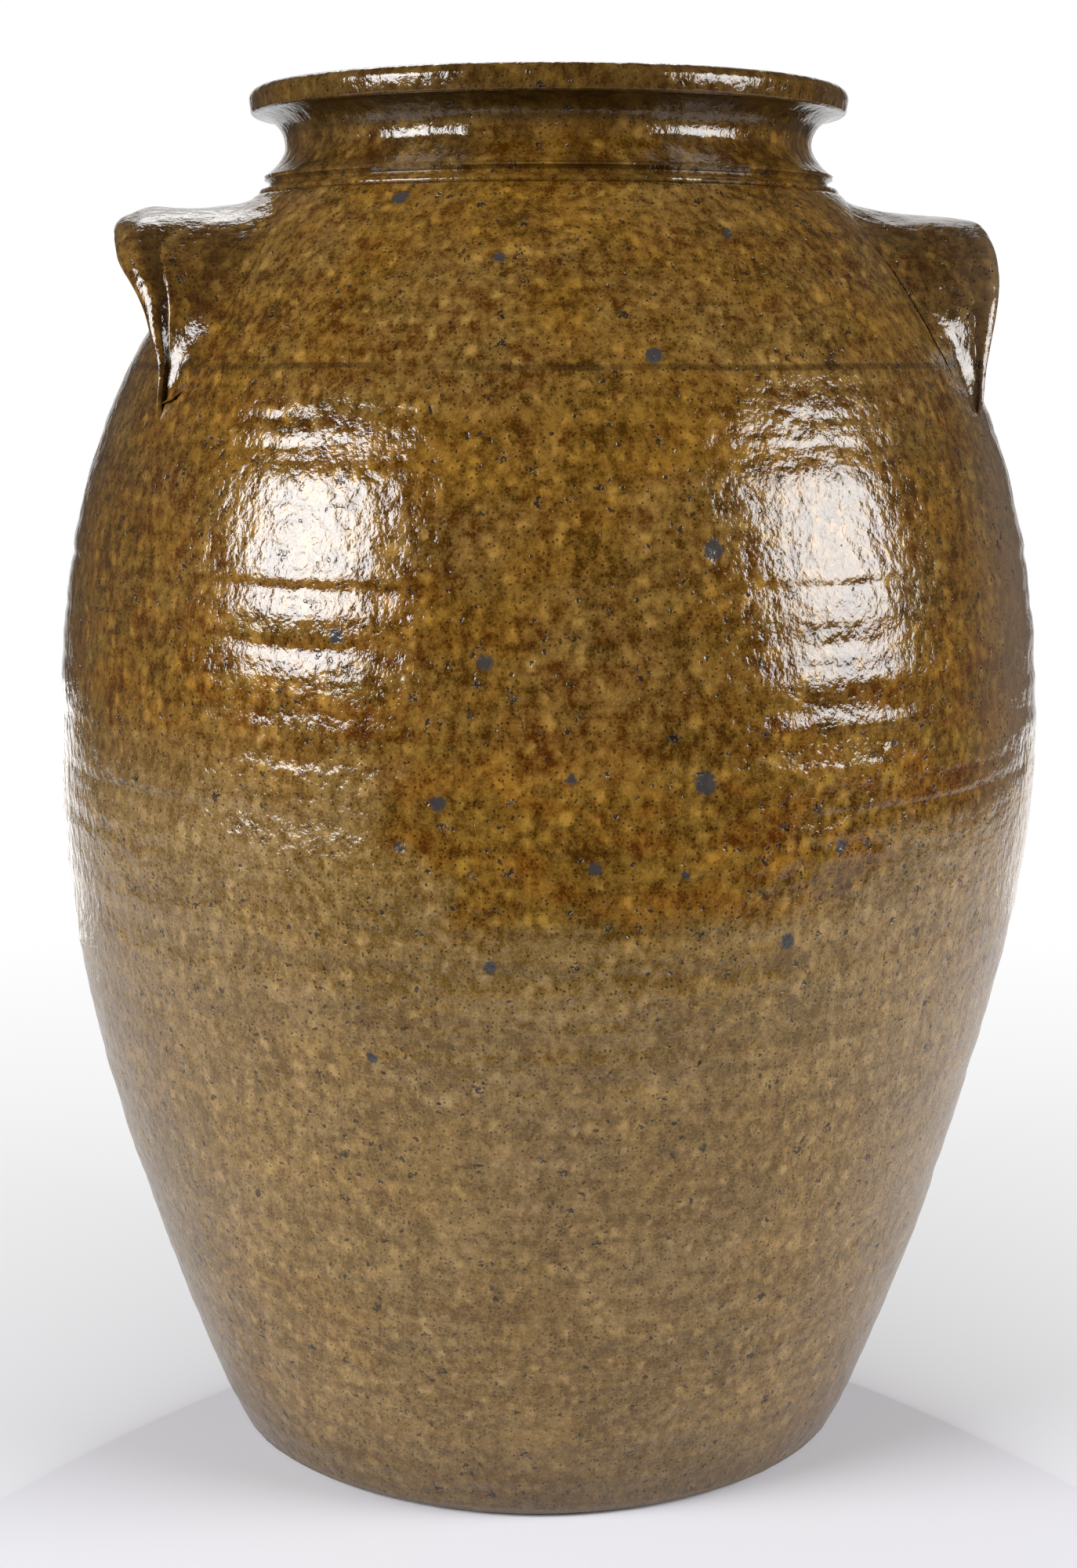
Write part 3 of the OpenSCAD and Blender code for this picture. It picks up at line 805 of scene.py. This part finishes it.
def lug_slab(name, side, edge, shape):
    rings = []
    darkening = []
    for turn in TURNS:
        plane = LugPlane(side, turn)
        t = slab_t(turn)
        size = lug_scale(turn)
        free = edge_out(edge, turn)
        ridge = free - shape["bevel_out"] * size
        drop = shape["bevel_r"] * size * t / LUG_T
        root = min(plane.wall(ring_outer(0), math.tan(LUG_LEAN)), ridge - 0.001) - 0.0015
        line = []
        for step in range(20):
            out = root + (ridge - root) * step / 19
            line.append((out, ring_outer(out) + swell(out, root, ridge, turn, shape)))
        top = ring_outer(ridge) + swell(ridge, root, ridge, turn, shape)
        for k in range(1, 8):
            w = math.radians(60 * k / 8)
            line.append((
                ridge + shape["bevel_out"] * size * math.sin(w) / math.sin(math.radians(60)),
                top - 2 * drop * (1 - math.cos(w))))
        tip = (t - drop) / 2
        edge_r = min(ring_outer(free), top) - drop - tip
        for k in range(9):
            w = math.radians(60 - 150 * k / 8)
            line.append((free - tip + tip * math.cos(w), edge_r + tip * math.sin(w)))
        under = plane.wall(ring_outer(0) - t, math.tan(LUG_LEAN))
        under = min(under, free - tip - 0.001) - 0.0015
        for step in range(1, 14):
            out = free - tip + (under - free + tip) * step / 13
            thick = t + (LUG_ROOT_T - LUG_T) * size * min(free - out, LUG_TAPER) / LUG_TAPER
            flare = 0.005 * fade(out, under + 0.008, under) * size
            line.append((out, edge_r + tip + drop - (free - out) * math.tan(LUG_LEAN) - thick - flare))
        ring = []
        for out, r in line:
            spot = plane.point(out, r)
            bumps = rough(spot, 0.014, 0.0006) + rough(spot, 0.0045, 0.00022)
            ring.append(spot + plane.away * bumps)
            near = ridge - out if r > edge_r + tip else 1.0
            dark = fade(near, -0.001, 0.001) * fade(near, 0.011, 0.004)
            darkening.append(dark * shape["darken"] * fade(abs(turn), 0.2, 0.6))
        rings.append(ring)
    return skin_mesh(name, rings, darkening)


def finish_piece(piece, node, material):
    piece.data.materials.append(material)
    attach(piece, "root")
    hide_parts(node)


left_lug = lug_slab("left_lug_slab", -1, LEFT_EDGE, LEFT_SHAPE)
finish_piece(left_lug, "left_lug", ash_glaze)

# The right lug: a slab like the left one, with its edge rounded more.
right_lug = lug_slab("right_lug_slab", 1, RIGHT_EDGE, RIGHT_SHAPE)
finish_piece(right_lug, "right_lug", ash_glaze)

# The left luting: soft clay that the potter pressed into the corner above the lug and smoothed
# out both ways with a finger, so that the lug runs into the shoulder.


FILL_ALONG = 0.0045
FILL_UP = 0.0014


def luting(name, side, edge, shape, crease):
    rings = []
    darkening = []
    for turn in TURNS[6:-6]:
        plane = LugPlane(side, turn)
        corner_out = plane.wall(ring_outer(0), math.tan(LUG_LEAN))
        r = ring_outer(corner_out)
        width = fade(math.radians(87) - abs(turn), 0, math.radians(10))
        steep = fade(abs(turn), 0, math.radians(50))
        ridge = edge_out(edge, turn) - shape["bevel_out"] * lug_scale(turn)
        free = max(0.0006, ridge - corner_out)
        on_wall = (0.0065 + 0.0035 * steep + rough(plane.away, 0.22, 0.002)) * width + 0.0002
        on_lug = min(0.026, free * 0.85) * (0.25 + 0.75 * width)
        corner = plane.point(corner_out, r)
        hits = [(plane.wall(r + d), r + d) for d in np.linspace(0, 0.02, 41)]
        walls = [plane.point(out, away) for out, away in hits if out is not None]
        reach = 0.0
        wall_end = walls[-1]
        wall_next = walls[-2]
        for one, two in zip(walls, walls[1:]):
            reach += (two - one).length
            if reach >= on_wall:
                wall_end = two
                wall_next = one
                break
        lug_out = corner_out + on_lug
        root = corner_out - 0.0015
        lug_end = plane.point(lug_out, ring_outer(lug_out) + swell(lug_out, root, ridge, turn, shape))
        along_wall = (wall_end - wall_next).normalized()
        along_lug = (lug_end - corner).normalized()
        plane_normal = along_wall.cross(along_lug).normalized()
        wall_up = plane_normal.cross(along_wall).normalized()
        lug_up = along_lug.cross(plane_normal).normalized()
        lift = -0.0002
        if crease and turn < 0:
            degrees = -math.degrees(turn)
            lift += crease * fade(degrees, 50, 62) * fade(84 - degrees, 0, 8)
        filled = fade(abs(turn), math.radians(36), math.radians(54)) * fade(
            abs(turn), math.radians(80), math.radians(64))
        corner_clay = corner + (along_lug * FILL_ALONG + lug_up * FILL_UP) * filled
        wall_end = wall_end + wall_up * lift
        lug_end = lug_end - lug_up * 0.00015
        ring = []
        for step in range(17):
            t = step / 16
            spot = wall_end * (1 - t) ** 2 + corner_clay * 2 * t * (1 - t) + lug_end * t * t
            hold = math.sin(math.pi * t)
            spot += plane.away * rough(spot, 0.014, 0.0006) * t * t
            ring.append(spot + (wall_up + lug_up).normalized() * rough(spot, 0.009, 0.0007) * hold)
        inner = corner - (wall_up + lug_up).normalized() * 0.0012
        ring.append(lug_end * 0.4 + inner * 0.6 - lug_up * 0.0008)
        ring.append(inner)
        ring.append(wall_end * 0.4 + inner * 0.6 - wall_up * 0.0008)
        rings.append(ring)
        darkening += [steep * 0.6 * math.sin(math.pi * min(1, step / 16)) ** 2 for step in range(20)]
    return skin_mesh(name, rings, darkening)


left_luting = luting("left_luting_smear", -1, LEFT_EDGE, LEFT_SHAPE, 0.0)
finish_piece(left_luting, "left_luting_coil", ash_glaze)

# The right luting: as on the left, but its lower end in front wasn't smoothed down, and leaves
# a crease on the wall.
right_luting = luting("right_luting_smear", 1, RIGHT_EDGE, RIGHT_SHAPE, 0.0004)
finish_piece(right_luting, "right_luting_coil", ash_glaze)
